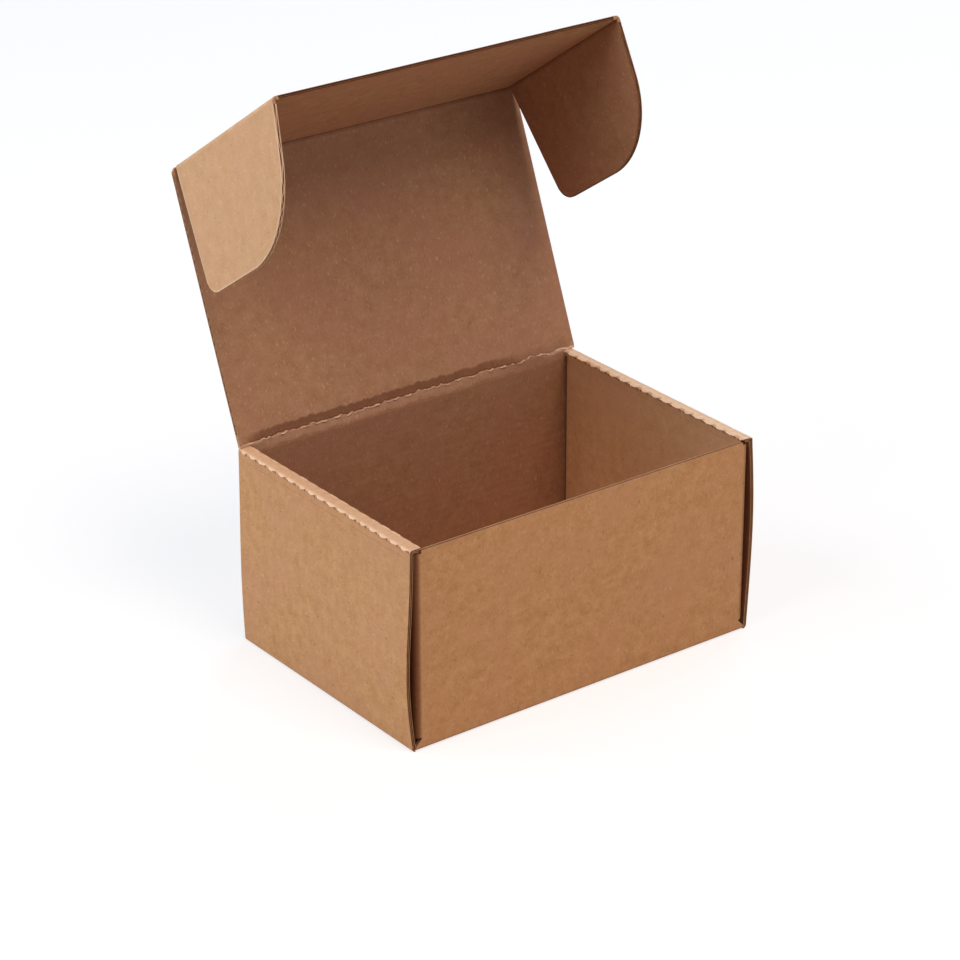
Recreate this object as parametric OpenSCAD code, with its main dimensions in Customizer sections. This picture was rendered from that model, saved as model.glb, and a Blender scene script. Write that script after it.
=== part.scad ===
// Roll-end tuck-top mailer box, die-cut and folded from one sheet of E-flute board.
// The origin is the centre of the tray's underside. X runs along the front, Y to the back, Z up.
// The flutes run along X in the flat sheet.

/* [Tray] */
// Clear width between the doubled side walls
inside_w = 152.4; // [110:0.1:240]
// Clear depth between the front and the back wall
inside_d = 107.9; // [80:0.1:180]
// Clear height from the bottom to the underside of the shut lid
inside_h = 81.2; // [60:0.1:140]
// How far the front wall's raw edge lies below the rim
front_drop = 1.2; // [0:0.1:4]
// Length of the four corner flaps between the side plies
corner_flap_len = 44; // [20:1:50]
// Bevel on the free ends of the corner flaps
corner_flap_bevel = 8; // [3:0.5:15]
// How far the corner flaps stay below the underside of the rim
corner_flap_drop = 1; // [0.3:0.1:3]

/* [Board] */
// Thickness of the corrugated board
board = 1.5; // [1.2:0.05:2]
// Thickness of each liner and of the fluted sheet between them
paper = 0.24; // [0.15:0.01:0.3]
// Distance from one flute to the next
flute_pitch = 3.2; // [2.4:0.1:5]
// Depth of the open groove in a raw edge that runs along the flutes
groove_depth = 0.8; // [0.3:0.1:1.5]
// Air left between two plies that lie together
ply_gap = 0.15; // [0.05:0.05:0.3]

/* [Folds] */
// Outer radius of the folds round the bottom
bottom_fold_r = 1.2; // [0.6:0.1:1.2]
// Outer radius of the two creases along each rolled-over side
rim_fold_r = 0.9; // [0.4:0.1:1.2]
// Outer radius of the upright folds between a wall and its corner flaps
corner_fold_r = 3; // [2.2:0.1:4]
// Height of the relief cut at the foot of each upright fold
corner_relief = 3.4; // [2:0.1:6]
// Running gap between a flap and the fold that it hangs on
fold_gap = 0.2; // [0.15:0.05:0.3]
// Width of the crushed band beside a flap's crease
crush_w = 2; // [1.4:0.1:3]
// Depth to which a crease is crushed on the inside of the fold
crush_depth = 0.5; // [0.2:0.05:0.6]
// Spacing of the nicks in the perforated creases along the rim
nick_pitch = 6.5; // [4:0.1:12]
// Length of each nick
nick_len = 3.4; // [1:0.1:3.8]
// Depth of each nick
nick_depth = 0.4; // [0.1:0.05:0.6]

/* [Lock tabs] */
// Width of the two lock tabs under each inner side panel
tab_w = 22; // [12:1:30]
// Distance between the centres of the two tabs
tab_spacing = 56; // [40:1:70]
// Clearance round a tab in its slot
tab_clearance = 0.2; // [0.1:0.05:0.5]

/* [Lid] */
// Gap between the rim and the shut lid
lid_seat_gap = 0.2; // [0.1:0.05:0.5]
// Angle that the lid stands open from shut
lid_open = 111.8; // [60:0.1:170]
// Radius of the lid's two front corners
lid_corner_r = 2; // [1:0.5:4]
// Gap between the front wall and the tuck flap behind it when the lid is shut
tuck_slide_gap = 0.2; // [0.1:0.05:0.5]

/* [Tuck flap] */
// Angle that the tuck flap is folded from flat
tuck_fold = 78; // [40:0.1:90]
// Height of the tuck flap from its fold to its free edge
tuck_h = 81.6; // [40:0.1:82]
// How far the ears' outer faces stand in from the lid's ends
ear_inset = 1.4; // [0.5:0.1:6]

/* [Ears] */
// Angle that the left ear is folded from flat
left_ear_fold = 82; // [60:0.5:100]
// Angle that the right ear is folded from flat
right_ear_fold = 87; // [60:0.5:100]
// Reach of an ear from its fold to its tip
ear_reach = 52; // [30:0.5:60]
// Gap between the lid's fold and the root of an ear's back edge
ear_root_gap = 1.2; // [1:0.1:3]
// Slant of an ear's back edge
ear_back_slant = 5; // [3:0.5:20]
// Slant of an ear's front edge
ear_front_slant = 10; // [3:0.5:20]
// Radius of an ear's corner nearest the lid
ear_back_r = 7.5; // [3:0.5:12]
// Radius of an ear's corner nearest the free edge
ear_front_r = 36; // [15:0.5:38]

/* [Hidden] */
$fn = 48;
eps = 0.01;

// A side wall is three plies thick: outer panel, corner flap and inner panel.
side_wall = 3 * board + 2 * ply_gap;
outer_w = inside_w + 2 * side_wall;
outer_d = inside_d + 2 * board;
rim_z = board + inside_h - lid_seat_gap;
front_top_z = rim_z - front_drop;
side_len = outer_d - 2 * ply_gap;
inner_side_len = outer_d - 2 * corner_fold_r;
corner_flap_top_z = rim_z - board - corner_flap_drop;
flap_face_x = outer_w / 2 - board - ply_gap;
inner_ply_x = inside_w / 2 + board / 2;

// The lid turns about the middle of the board, level with the shut lid.
lid_axis_y = outer_d / 2 - board / 2;
lid_axis_z = rim_z + lid_seat_gap + board / 2;
lid_len = inside_d - tuck_slide_gap;
plate_start = board / 2 + fold_gap;
ear_axis_x = outer_w / 2 - ear_inset - board / 2;

// Half the height of the wave that the fluted sheet makes between the liners
flute_amp = board / 2 - 1.5 * paper;

// Outline of one hollow between the fluted sheet and a liner, across the flutes.
function flute_hollow() = concat(
    [for (f = [0.1, 0.25, 0.4, 0.6, 0.75, 0.9])
        [f * flute_pitch, flute_amp * cos(360 * f) + paper / 2]],
    [for (f = [0.9, 0.1]) [f * flute_pitch, board / 2 - paper]]);

// A quarter-round waste piece that rounds an outside corner at the origin, above and right of it.
module corner_waste(r) {
    translate([-r, -r]) difference() {
        square(r + eps);
        circle(r);
    }
}

// One quarter of a rounded fold, from the direction +X round to +Y about the origin.
module fold_quarter(r) {
    intersection() {
        difference() {
            circle(r);
            circle(r - board);
        }
        square(r + eps);
    }
}

// Hollows of the flutes over a length along Y, each open along X, in board that lies in the XY plane.
module flutes(from_y, to_y, half_w) {
    // Each pair of hollows takes up a pitch and a half.
    count = floor((to_y - from_y) / flute_pitch - 0.5);
    start = (from_y + to_y - (count + 0.5) * flute_pitch) / 2;
    for (i = [0 : count - 1]) {
        translate([0, start + i * flute_pitch, 0]) flute_pair(half_w);
    }
}

// The hollow above the fluted sheet, and the one below it half a pitch further on.
module flute_pair(half_w) {
    rotate([90, 0, 90]) linear_extrude(2 * half_w, center = true) polygon(flute_hollow());
    translate([0, flute_pitch / 2, 0]) rotate([90, 0, 90]) linear_extrude(2 * half_w, center = true)
        mirror([0, 1]) polygon(flute_hollow());
}

// Wedge crushed out of the inside of a fold. The board lies in the XY plane with its inside up, and
// the crease is the X axis.
module crush(len) {
    rotate([90, 0, 90]) linear_extrude(len, center = true) polygon([
        [crush_w, board / 2],
        [board / 2, board / 2 - crush_depth],
        [0, board / 2 - crush_depth],
        [0, board],
        [crush_w, board]
    ]);
}

// The same wedge on the side of the fold that carries the round bead.
module crush_beside_bead(len) {
    difference() {
        crush(len);
        rotate([0, 90, 0]) cylinder(d = board, h = len + 1, center = true);
    }
}

// Side wall on the right, seen along Y: bottom fold, outer panel, rim strip and inner panel.
module side_section() {
    x1 = outer_w / 2;
    difference() {
        union() {
            translate([x1 - 2 * board, 0]) square([2 * board, board]);
            translate([x1 - board, 0]) square([board, rim_z]);
            translate([x1 - side_wall, rim_z - board]) square([side_wall, board]);
            translate([x1 - side_wall, board + ply_gap]) square([board, rim_z - board - ply_gap]);
        }
        translate([x1, rim_z]) corner_waste(rim_fold_r);
        translate([x1 - side_wall, rim_z]) mirror([1, 0]) corner_waste(rim_fold_r);
        translate([x1, 0]) mirror([0, 1]) corner_waste(bottom_fold_r);
    }
}

// Row of nicks along a crease of the rim, centred on the crease at x.
module rim_nicks(x) {
    count = floor((side_len - nick_len) / nick_pitch);
    reach = rim_fold_r * (sqrt(2) - 1) + nick_depth;
    for (i = [0 : count]) {
        translate([x, (i - count / 2) * nick_pitch, rim_z]) rotate([0, 45, 0])
            cube([2 * reach, nick_len, 2 * reach], center = true);
    }
}

// Doubled side wall on the right, with its lock tabs.
module side_wall_right() {
    difference() {
        rotate([90, 0, 0]) linear_extrude(side_len, center = true) side_section();
        // The inner panel is shorter than the outer one and stands clear of the upright folds.
        for (m = [0, 1]) mirror([0, m, 0])
            translate([outer_w / 2 - side_wall - eps, inner_side_len / 2, board + ply_gap / 2])
                cube([board + ply_gap + eps, side_len, rim_z - 2 * board - ply_gap / 2]);
        // Open grooves in the two raw edges of the outer panel
        for (m = [0, 1]) mirror([0, m, 0])
            translate([outer_w / 2 - board + paper, side_len / 2 - groove_depth, bottom_fold_r])
                cube([board - 2 * paper, groove_depth + eps, rim_z - board - bottom_fold_r]);
    }
    for (m = [-1, 1]) {
        translate([inner_ply_x, m * tab_spacing / 2, board])
            cube([board, tab_w, 2 * (board - tab_clearance)], center = true);
    }
}

// Bottom panel with the four slots that take the lock tabs.
module bottom_panel() {
    difference() {
        translate([-outer_w / 2 + board, -outer_d / 2 + board, 0])
            cube([outer_w - 2 * board, outer_d - 2 * board, board]);
        for (mx = [-1, 1]) for (my = [-1, 1])
            translate([mx * inner_ply_x, my * tab_spacing / 2, board / 2])
                cube([board + 2 * tab_clearance, tab_w + 2 * tab_clearance, 2 * board], center = true);
    }
}

// Front wall, with its bottom fold, up to the height top_z.
module cross_wall(top_z) {
    difference() {
        translate([-flap_face_x + corner_fold_r, -outer_d / 2, 0])
            cube([2 * (flap_face_x - corner_fold_r), board, top_z]);
        bottom_fold_waste();
    }
    // The bottom fold runs on past the upright folds to the tray's corners.
    difference() {
        translate([-outer_w / 2 + board, -outer_d / 2, 0]) cube([outer_w - 2 * board, 2 * board, board]);
        bottom_fold_waste();
    }
}

// What the rounding of the front bottom fold takes away.
module bottom_fold_waste() {
    rotate([90, 0, 90]) linear_extrude(2 * outer_w, center = true)
        translate([-outer_d / 2, 0]) mirror([1, 0]) mirror([0, 1]) corner_waste(bottom_fold_r);
}

// Corner flap at the front right, hung on the front wall by a rounded upright fold.
module corner_flap() {
    low_z = board + ply_gap;
    height = corner_flap_top_z - low_z;
    translate([flap_face_x - corner_fold_r, -outer_d / 2 + corner_fold_r, low_z])
        linear_extrude(height) rotate(-90) fold_quarter(corner_fold_r);
    translate([flap_face_x, -outer_d / 2 + corner_fold_r, low_z]) rotate([90, 0, -90])
        linear_extrude(board) mirror([1, 0]) polygon([
            [0, 0],
            [corner_flap_len - corner_flap_bevel, 0],
            [corner_flap_len, corner_flap_bevel],
            [corner_flap_len, height - corner_flap_bevel],
            [corner_flap_len - corner_flap_bevel, height],
            [0, height]
        ]);
}

// What is cut away at the head of the front wall's right end, so that it passes under the rim.
module head_relief() {
    translate([inside_w / 2 - ply_gap, -outer_d / 2 - eps, corner_flap_top_z])
        cube([2 * board, board + 2 * eps, 4 * board]);
}

// Relief cut at the foot of the upright fold at the front right.
module foot_relief() {
    rotate([90, 0, 0]) translate([0, 0, outer_d / 2 - 2 * corner_fold_r]) linear_extrude(4 * corner_fold_r)
        polygon([
            [flap_face_x + eps, board + corner_relief],
            [flap_face_x - corner_fold_r, board + corner_relief],
            [flap_face_x - corner_fold_r - board, board],
            [flap_face_x + eps, board]
        ]);
}

// Front wall up to the height top_z, with its two corner flaps and the reliefs at its corners.
module wall_with_flaps(top_z) {
    difference() {
        union() {
            cross_wall(top_z);
            for (m = [0, 1]) mirror([m, 0, 0]) corner_flap();
        }
        for (m = [0, 1]) mirror([m, 0, 0]) {
            foot_relief();
            head_relief();
        }
    }
}

module front_wall() {
    difference() {
        wall_with_flaps(front_top_z);
        translate([-inside_w / 2, -outer_d / 2 + paper, front_top_z - groove_depth])
            cube([inside_w, board - 2 * paper, groove_depth + eps]);
    }
}

module back_wall() {
    mirror([0, 1, 0]) wall_with_flaps(lid_axis_z);
    translate([0, lid_axis_y, lid_axis_z]) rotate([0, 90, 0])
        cylinder(d = board, h = inside_w - 2 * ply_gap, center = true);
}

module tray() {
    color("#b98b60") difference() {
        union() {
            bottom_panel();
            for (m = [0, 1]) mirror([m, 0, 0]) side_wall_right();
            front_wall();
            back_wall();
        }
        rim_nicks(-outer_w / 2);
        rim_nicks(outer_w / 2 - side_wall);
    }
}

// The lid lies in the XY plane with its inside up, its fold on the X axis and its length along Y.
module lid_flat() {
    difference() {
        union() {
            linear_extrude(board, center = true) lid_outline();
            translate([0, lid_len, 0]) rotate([0, 90, 0])
                cylinder(d = board, h = 2 * ear_axis_x, center = true);
        }
        flutes(crush_w, lid_len - crush_w, outer_w);
        crush(inside_w);
        translate([0, lid_len, 0]) mirror([0, 1, 0]) crush_beside_bead(outer_w);
    }
}

// The lid's outline. Beyond the ends of the back wall's fold it runs on down to the crease line.
module lid_outline() {
    difference() {
        union() {
            translate([-outer_w / 2, plate_start]) square([outer_w, lid_len - plate_start]);
            for (m = [0, 1]) mirror([m, 0]) translate([inside_w / 2, 0]) square([side_wall, plate_start + eps]);
        }
        for (m = [0, 1]) mirror([m, 0]) translate([outer_w / 2, lid_len]) corner_waste(lid_corner_r);
    }
}

// The tuck flap lies in the XY plane with its inside up and its fold on the X axis.
module tuck_flat() {
    difference() {
        union() {
            translate([-ear_axis_x, plate_start, -board / 2])
                cube([2 * ear_axis_x, tuck_h - plate_start, board]);
            for (m = [-1, 1]) translate([m * ear_axis_x, plate_start, 0]) rotate([-90, 0, 0])
                cylinder(d = board, h = tuck_h - plate_start);
        }
        crush(outer_w);
        for (m = [0, 1]) mirror([m, 0, 0])
            translate([ear_axis_x, 0, 0]) rotate(90) crush_beside_bead(3 * tuck_h);
        translate([-outer_w, tuck_h - groove_depth, -board / 2 + paper])
            cube([2 * outer_w, groove_depth + eps, board - 2 * paper]);
    }
}

// Outline of an ear: X reaches out from its fold, and Y runs from the lid to the free edge.
module ear_outline() {
    back_x = ear_reach * tan(ear_back_slant);
    front_x = ear_reach * tan(ear_front_slant);
    back_t = ear_back_r / tan((90 + ear_back_slant) / 2);
    front_t = ear_front_r / tan((90 + ear_front_slant) / 2);
    back_corner = [ear_reach, ear_root_gap + back_x];
    front_corner = [ear_reach, tuck_h - front_x];
    back_c = [ear_reach - ear_back_r, back_corner[1] + back_t];
    front_c = [ear_reach - ear_front_r, front_corner[1] - front_t];
    intersection() {
        translate([plate_start, 0]) square([ear_reach, tuck_h]);
        union() {
            polygon([
                [0, ear_root_gap],
                back_corner - back_t * [sin(90 - ear_back_slant), sin(ear_back_slant)],
                back_c,
                [ear_reach, back_c[1]],
                [ear_reach, front_c[1]],
                front_c,
                front_corner - front_t * [cos(ear_front_slant), -sin(ear_front_slant)],
                [0, tuck_h]
            ]);
            translate(back_c) circle(ear_back_r, $fn = 96);
            translate(front_c) circle(ear_front_r, $fn = 96);
        }
    }
}

// An ear lies in the XY plane with its inside up, its fold on the Y axis and its tip towards +X.
module ear_flat() {
    difference() {
        linear_extrude(board, center = true) ear_outline();
        translate([crush_w + ear_reach, 0, 0]) flutes(0, tuck_h, ear_reach);
        rotate(-90) crush(3 * tuck_h);
    }
}

// Places what is drawn flat on the tray's fold, with the lid open by lid_open.
module on_lid_fold() {
    translate([0, lid_axis_y, lid_axis_z]) rotate([180 - lid_open, 0, 0]) children();
}

// Places what is drawn flat on the lid's front fold.
module on_tuck_fold() {
    on_lid_fold() translate([0, lid_len, 0]) rotate([tuck_fold, 0, 0]) children();
}

// Places an ear drawn for the right on the right end of the tuck flap.
module on_ear_fold(fold) {
    on_tuck_fold() translate([ear_axis_x, 0, 0]) rotate([0, -fold, 0]) children();
}

module lid_panel() {
    color("#9a7050") on_lid_fold() lid_flat();
}

module tuck_flap() {
    color("#96704f") on_tuck_fold() tuck_flat();
}

module left_ear() {
    color("#c59e7b") mirror([1, 0, 0]) on_ear_fold(left_ear_fold) ear_flat();
}

module right_ear() {
    color("#7a5540") on_ear_fold(right_ear_fold) ear_flat();
}

tray();
lid_panel();
tuck_flap();
left_ear();
right_ear();
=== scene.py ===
import bpy, bmesh, math
import numpy as np
from mathutils import Matrix, Vector, noise


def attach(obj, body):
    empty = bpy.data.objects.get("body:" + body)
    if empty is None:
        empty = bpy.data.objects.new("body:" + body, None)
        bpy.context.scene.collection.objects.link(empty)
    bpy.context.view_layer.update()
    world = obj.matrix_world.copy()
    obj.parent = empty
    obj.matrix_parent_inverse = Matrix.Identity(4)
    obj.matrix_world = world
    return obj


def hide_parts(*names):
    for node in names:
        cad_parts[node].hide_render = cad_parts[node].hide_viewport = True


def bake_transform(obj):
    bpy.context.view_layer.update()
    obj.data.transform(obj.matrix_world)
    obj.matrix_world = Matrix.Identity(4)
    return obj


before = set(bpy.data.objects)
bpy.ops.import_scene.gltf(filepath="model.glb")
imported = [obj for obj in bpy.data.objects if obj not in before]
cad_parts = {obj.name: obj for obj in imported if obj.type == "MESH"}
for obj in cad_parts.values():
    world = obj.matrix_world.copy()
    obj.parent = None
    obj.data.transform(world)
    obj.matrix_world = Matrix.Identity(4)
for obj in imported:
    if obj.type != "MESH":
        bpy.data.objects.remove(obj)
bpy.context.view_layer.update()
scene = bpy.context.scene
mm = 0.001
print("frame loaded:", ", ".join(sorted(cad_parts)))

# the box is one flat sheet that gets folded; flatSheet is a point's place in it, along and across the flutes
board = {
    "thickness": 1.5,       # E-flute, mm
    "paper": 0.24,          # each liner and the fluted sheet
    "flutePitch": 3.2,
    "foldRadius": 0.8,      # of the board's middle round a fold
    "slack": 0.15,          # left between sheets that lie against each other
    "unevenness": 0.07,     # how far a panel wanders from flat
    "plainStep": 9.0,       # widest mesh step along the flutes, where the sheet runs straight
}


# helpers for nodes, colours, noise, folding paths and meshes

def addNode(tree, kind, inputs=None, **settings):
    # an input is a value, a socket to link, or a node, whose first output is linked
    node = tree.nodes.new(kind)
    for key, value in settings.items():
        setattr(node, key, value)
    for key, value in (inputs or {}).items():
        value = value.outputs[0] if isinstance(value, bpy.types.Node) else value
        if isinstance(value, bpy.types.NodeSocket):
            tree.links.new(value, node.inputs[key])
        else:
            node.inputs[key].default_value = value
    return node


def hexColour(code):
    parts = [int(code[i:i + 2], 16) / 255 for i in (1, 3, 5)]
    return tuple(c / 12.92 if c <= 0.04045 else ((c + 0.055) / 1.055) ** 2.4 for c in parts) + (1.0,)


def unit(value):
    return np.clip(value, 0, 1)


def hump(value, at, width):
    # 1 at one place, falling to nothing on both sides
    return np.exp(-((value - at) / width) ** 2)


def fade(value, low, high, soft):
    # 1 between two limits, falling to 0 at both
    return unit((value - low) / soft) * unit((high - value) / soft)


def noiseAt(a, b, seed, octaves=0):
    # smooth noise at each place of a grid, or rough noise where octaves are asked for
    a, b = np.broadcast_arrays(a, b)
    spots = [Vector((x, y, seed)) for x, y in zip(a.ravel(), b.ravel())]
    values = [noise.fractal(spot, 1.0, 2.0, octaves) if octaves else noise.noise(spot) for spot in spots]
    return np.reshape(values, a.shape)


def rough(a, b, seed):
    return noiseAt(a, b, seed, 3)


def wander(s, t, seed):
    # slow unevenness of a panel, the same for all its layers
    return noiseAt(s / 23, t / 19, seed) * board["unevenness"]


def follow(parts, start, heading, distance):
    # walks straight runs and round turns in a plane; parts are (length, radius), radius None is straight
    # and a positive one turns left; gives place and heading at each distance, and the last part has no end
    distance = np.asarray(distance, float)
    a, b, turned = (np.zeros(distance.shape) for _ in range(3))
    pa, pb = start
    done = 0.0
    for i, (length, radius) in enumerate(parts):
        here = distance >= done - 1e-9
        d = distance[here] - done
        if i < len(parts) - 1:
            d = np.minimum(d, length)
        if radius is None:
            a[here], b[here], turned[here] = pa + d * math.cos(heading), pb + d * math.sin(heading), heading
            pa, pb = pa + length * math.cos(heading), pb + length * math.sin(heading)
        else:
            centre = (pa - radius * math.sin(heading), pb + radius * math.cos(heading))
            angle = heading + d / radius
            a[here], b[here] = centre[0] + radius * np.sin(angle), centre[1] - radius * np.cos(angle)
            turned[here] = angle
            heading += length / radius
            pa, pb = centre[0] + radius * math.sin(heading), centre[1] - radius * math.cos(heading)
        done += length
    return a, b, turned


def steps(marks, widest):
    # all marks, and even steps between them that are no wider than asked
    marks = sorted(set(round(m, 5) for m in marks))
    out = []
    for low, high in zip(marks, marks[1:]):
        count = max(1, math.ceil((high - low) / widest - 1e-6))
        out += list(np.linspace(low, high, count + 1)[:-1])
    return np.array(out + [marks[-1]])


def newSheet():
    return {"points": [], "flat": [], "lift": [], "tones": [], "faces": [], "count": 0}


def addPoints(sheet, points, along, across, lift, tones):
    sheet["points"].append(points.reshape(-1, 3))
    sheet["flat"].append(np.stack([along, across, 0 * across], -1).reshape(-1, 3))
    sheet["lift"].append(lift.reshape(-1))
    sheet["tones"].append({key: value.reshape(-1) for key, value in tones.items()})
    sheet["count"] += lift.size


def addPatch(sheet, along, across, place, keep=None, lift=None, tones=None):
    # a grid in the flat sheet, along and across the flutes, put in its folded place
    s, t = np.meshgrid(along, across)
    points, flatAlong = place(s, t)
    rows, cols = s.shape
    base = sheet["count"]
    midS, midT = (along[1:] + along[:-1]) / 2, (across[1:] + across[:-1]) / 2
    for i in range(rows - 1):
        for j in range(cols - 1):
            if keep is None or keep(midS[j], midT[i]):
                a = base + i * cols + j
                sheet["faces"].append((a, a + 1, a + cols + 1, a + cols))
    addPoints(sheet, points, flatAlong, t, lift(s, t) if lift else 0 * s, tones(s, t) if tones else {})


def makeMesh(name, papers, points, faces, flat, tones, kinds=None):
    mesh = bpy.data.meshes.new(name)
    mesh.from_pydata([tuple(p) for p in points * mm], [], faces)
    for paper in papers:
        mesh.materials.append(paper)
    if kinds is not None:
        mesh.polygons.foreach_set("material_index", kinds)
    attribute = mesh.attributes.new("flatSheet", "FLOAT_VECTOR", "POINT")
    attribute.data.foreach_set("vector", np.asarray(flat, np.float32).ravel())
    for key, column in tones.items():
        attribute = mesh.attributes.new(key, "FLOAT", "POINT")
        attribute.data.foreach_set("value", np.asarray(column, np.float32))
    work = bmesh.new()
    work.from_mesh(mesh)
    bmesh.ops.remove_doubles(work, verts=work.verts, dist=0.004 * mm)
    bmesh.ops.dissolve_degenerate(work, edges=work.edges, dist=0.002 * mm)
    loose = [v for v in work.verts if not v.link_faces]
    bmesh.ops.delete(work, geom=loose, context="VERTS")
    work.to_mesh(mesh)
    work.free()
    piece = bpy.data.objects.new(name, mesh)
    scene.collection.objects.link(piece)
    return piece


def settle(piece):
    # turns the modifiers' result into a plain mesh
    bpy.context.view_layer.update()
    graph = bpy.context.evaluated_depsgraph_get()
    evaluated = piece.evaluated_get(graph)
    plain = bpy.data.meshes.new_from_object(evaluated, preserve_all_data_layers=True, depsgraph=graph)
    piece.modifiers.clear()
    piece.data = plain
    plain.shade_smooth()
    plain.set_sharp_from_angle(angle=math.radians(35))
    return piece


def newTree(name, inputs):
    tree = bpy.data.node_groups.new(name, "GeometryNodeTree")
    tree.interface.new_socket("Geometry", in_out="INPUT", socket_type="NodeSocketGeometry")
    for label, kind in inputs.items():
        tree.interface.new_socket(label, in_out="INPUT", socket_type="NodeSocket" + kind)
    tree.interface.new_socket("Geometry", in_out="OUTPUT", socket_type="NodeSocketGeometry")
    return tree, addNode(tree, "NodeGroupInput"), addNode(tree, "NodeGroupOutput")


# finishes

paperLook = {
    "outside": ("#dcac7c", "#c89563", "#d4a077"),     # light, dark and pinkish tone of each paper
    # the inside liner's colours are darker and browner than the outside's: painted shade
    "inside": ("#bf9472", "#a87b59", "#b7846a"),
    "cutEdge": ("#cda078", "#a37a56", "#b08463"),
    "fluting": ("#a57b56", "#8c6444", "#9a7250"),
    "worn": "#fbdcbc",      # rubbed paper, and painted light and painted highlights
    "crushed": "#6c381c",   # pressed paper, and painted shade and painted shadow in creases, folds, gaps and recesses
    "fibre": 0.34,          # mm, width of the streaks, coarser than real fibres, which are finer than a pixel
    "cloud": 6.0,           # mm, size of the cloudy formation
    "pinkPatch": 34.0,      # mm, size of the pinkish patches
    "fleck": 1.5,           # mm, spacing of the dark and light fibres
    "fleckStrength": 0.26,
    "flecks": ((3.0, 0.64, 0.78, "#7d5231"), (11.0, 0.62, 0.76, "#eccaa3")),     # seed, noise range, colour
    "cloudLift": 0.16,      # mm, how high the clouds, the fibres and the flutes' print stand in the surface
    "fibreLift": 0.05,
    "washboard": 0.012,
}


def kraftPaper(name, tones, mottle, coarse=1.0, darker="crushed"):
    # recycled kraft fibre, unbleached, calendered once: matt, cloudy, with stray dark and light fibres; the
    # sheet's attributes say where it's worn paler or pressed darker, and where painted light, painted
    # highlights, painted shade and painted shadow make it paler or darker
    light, dark, pink = tones
    material = bpy.data.materials.new(name)
    material.use_nodes = True
    tree = material.node_tree
    shader = tree.nodes["Principled BSDF"]
    shader.inputs["Roughness"].default_value = 0.82
    shader.inputs["Specular IOR Level"].default_value = 0.22
    flat = addNode(tree, "ShaderNodeAttribute", attribute_name="flatSheet").outputs["Vector"]
    finest = 1 / paperLook["fibre"]
    streaks = addNode(tree, "ShaderNodeMapping", {"Vector": flat, "Scale": (finest, 0.3 * finest, 1)})
    cloud = addNode(tree, "ShaderNodeTexNoise", {
        "Vector": flat, "Scale": 1 / paperLook["cloud"], "Detail": 6.0, "Roughness": 0.74})
    fibre = addNode(tree, "ShaderNodeTexNoise", {
        "Vector": streaks, "Scale": 1.0, "Detail": 2.0, "Roughness": 0.6})
    tint = addNode(tree, "ShaderNodeTexNoise", {
        "Vector": flat, "Scale": 1 / paperLook["pinkPatch"], "Detail": 2.0})
    grain = addNode(tree, "ShaderNodeMath", {0: fibre, 1: 0.5}, operation="SUBTRACT")
    spread = 0.42 * mottle
    clouded = addNode(tree, "ShaderNodeMapRange", {
        "Value": cloud, "From Min": 0.3, "From Max": 0.7,
        "To Min": 0.5 - spread, "To Max": 0.5 + spread})
    shade = addNode(tree, "ShaderNodeMath", {0: grain, 1: 1.05 * mottle, 2: clouded},
                    operation="MULTIPLY_ADD", use_clamp=True)
    colour = addNode(tree, "ShaderNodeMix", {0: shade, 6: hexColour(dark), 7: hexColour(light)},
                     data_type="RGBA").outputs[2]
    pinkish = addNode(tree, "ShaderNodeMapRange", {
        "Value": tint, "From Min": 0.42, "From Max": 0.62, "To Min": 0.0, "To Max": 0.55})
    coats = [(pinkish, pink)]
    for seed, low, high, tone in paperLook["flecks"]:
        shifted = addNode(tree, "ShaderNodeMapping", {
            "Vector": flat, "Location": (seed, seed * 2, seed),
            "Scale": (1.6 / paperLook["fleck"], 0.8 / paperLook["fleck"], 1)})
        spots = addNode(tree, "ShaderNodeTexNoise", {
            "Vector": shifted, "Scale": 1.0, "Detail": 1.0, "Distortion": 0.6})
        mask = addNode(tree, "ShaderNodeMapRange", {
            "Value": spots, "From Min": low, "From Max": high,
            "To Min": 0.0, "To Max": paperLook["fleckStrength"] * mottle})
        coats.append((mask, tone))
    worn, crushed, other = (addNode(tree, "ShaderNodeAttribute", attribute_name=key).outputs["Fac"]
                            for key in ("worn", "crushed", darker))
    most = addNode(tree, "ShaderNodeMath", {0: crushed, 1: other}, operation="MAXIMUM")
    coats += [(worn, paperLook["worn"]), (most, paperLook["crushed"])]
    for mask, tone in coats:
        mixed = addNode(tree, "ShaderNodeMix", {0: mask, 6: colour, 7: hexColour(tone)}, data_type="RGBA")
        colour = mixed.outputs[2]
    tree.links.new(colour, shader.inputs["Base Color"])
    # the flutes print through as a faint washboard, and the fibres lift a little
    parts = addNode(tree, "ShaderNodeSeparateXYZ", {0: flat})
    perMillimetre = 2 * math.pi / board["flutePitch"]
    phase = addNode(tree, "ShaderNodeMath", {0: parts.outputs[1], 1: perMillimetre}, operation="MULTIPLY")
    ridge = addNode(tree, "ShaderNodeMath", {0: phase}, operation="COSINE")
    height = 0.0
    for part, lift in ((cloud, paperLook["cloudLift"]), (grain, paperLook["fibreLift"] * coarse),
                       (ridge, paperLook["washboard"])):
        height = addNode(tree, "ShaderNodeMath", {0: part, 1: lift, 2: height}, operation="MULTIPLY_ADD")
    bump = addNode(tree, "ShaderNodeBump", {"Height": height, "Strength": 1.0, "Distance": mm})
    tree.links.new(bump.outputs[0], shader.inputs["Normal"])
    return material


# kraft liner, the box's outside: pressed smooth against the rolls, so its clouds show most
outsidePaper = kraftPaper("kraftLinerOutside", paperLook["outside"], 1.4)
# the same liner seen from inside the box, made browner and darker: painted shade for the box's inside
shadedInsidePaper = kraftPaper("kraftLinerInside", paperLook["inside"], 1.15, darker="shaded")
# liner cut through by the die: raw fibres, pale and coarse
cutPaper = kraftPaper("cutKraftEdge", paperLook["cutEdge"], 0.8, 2.0)
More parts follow.
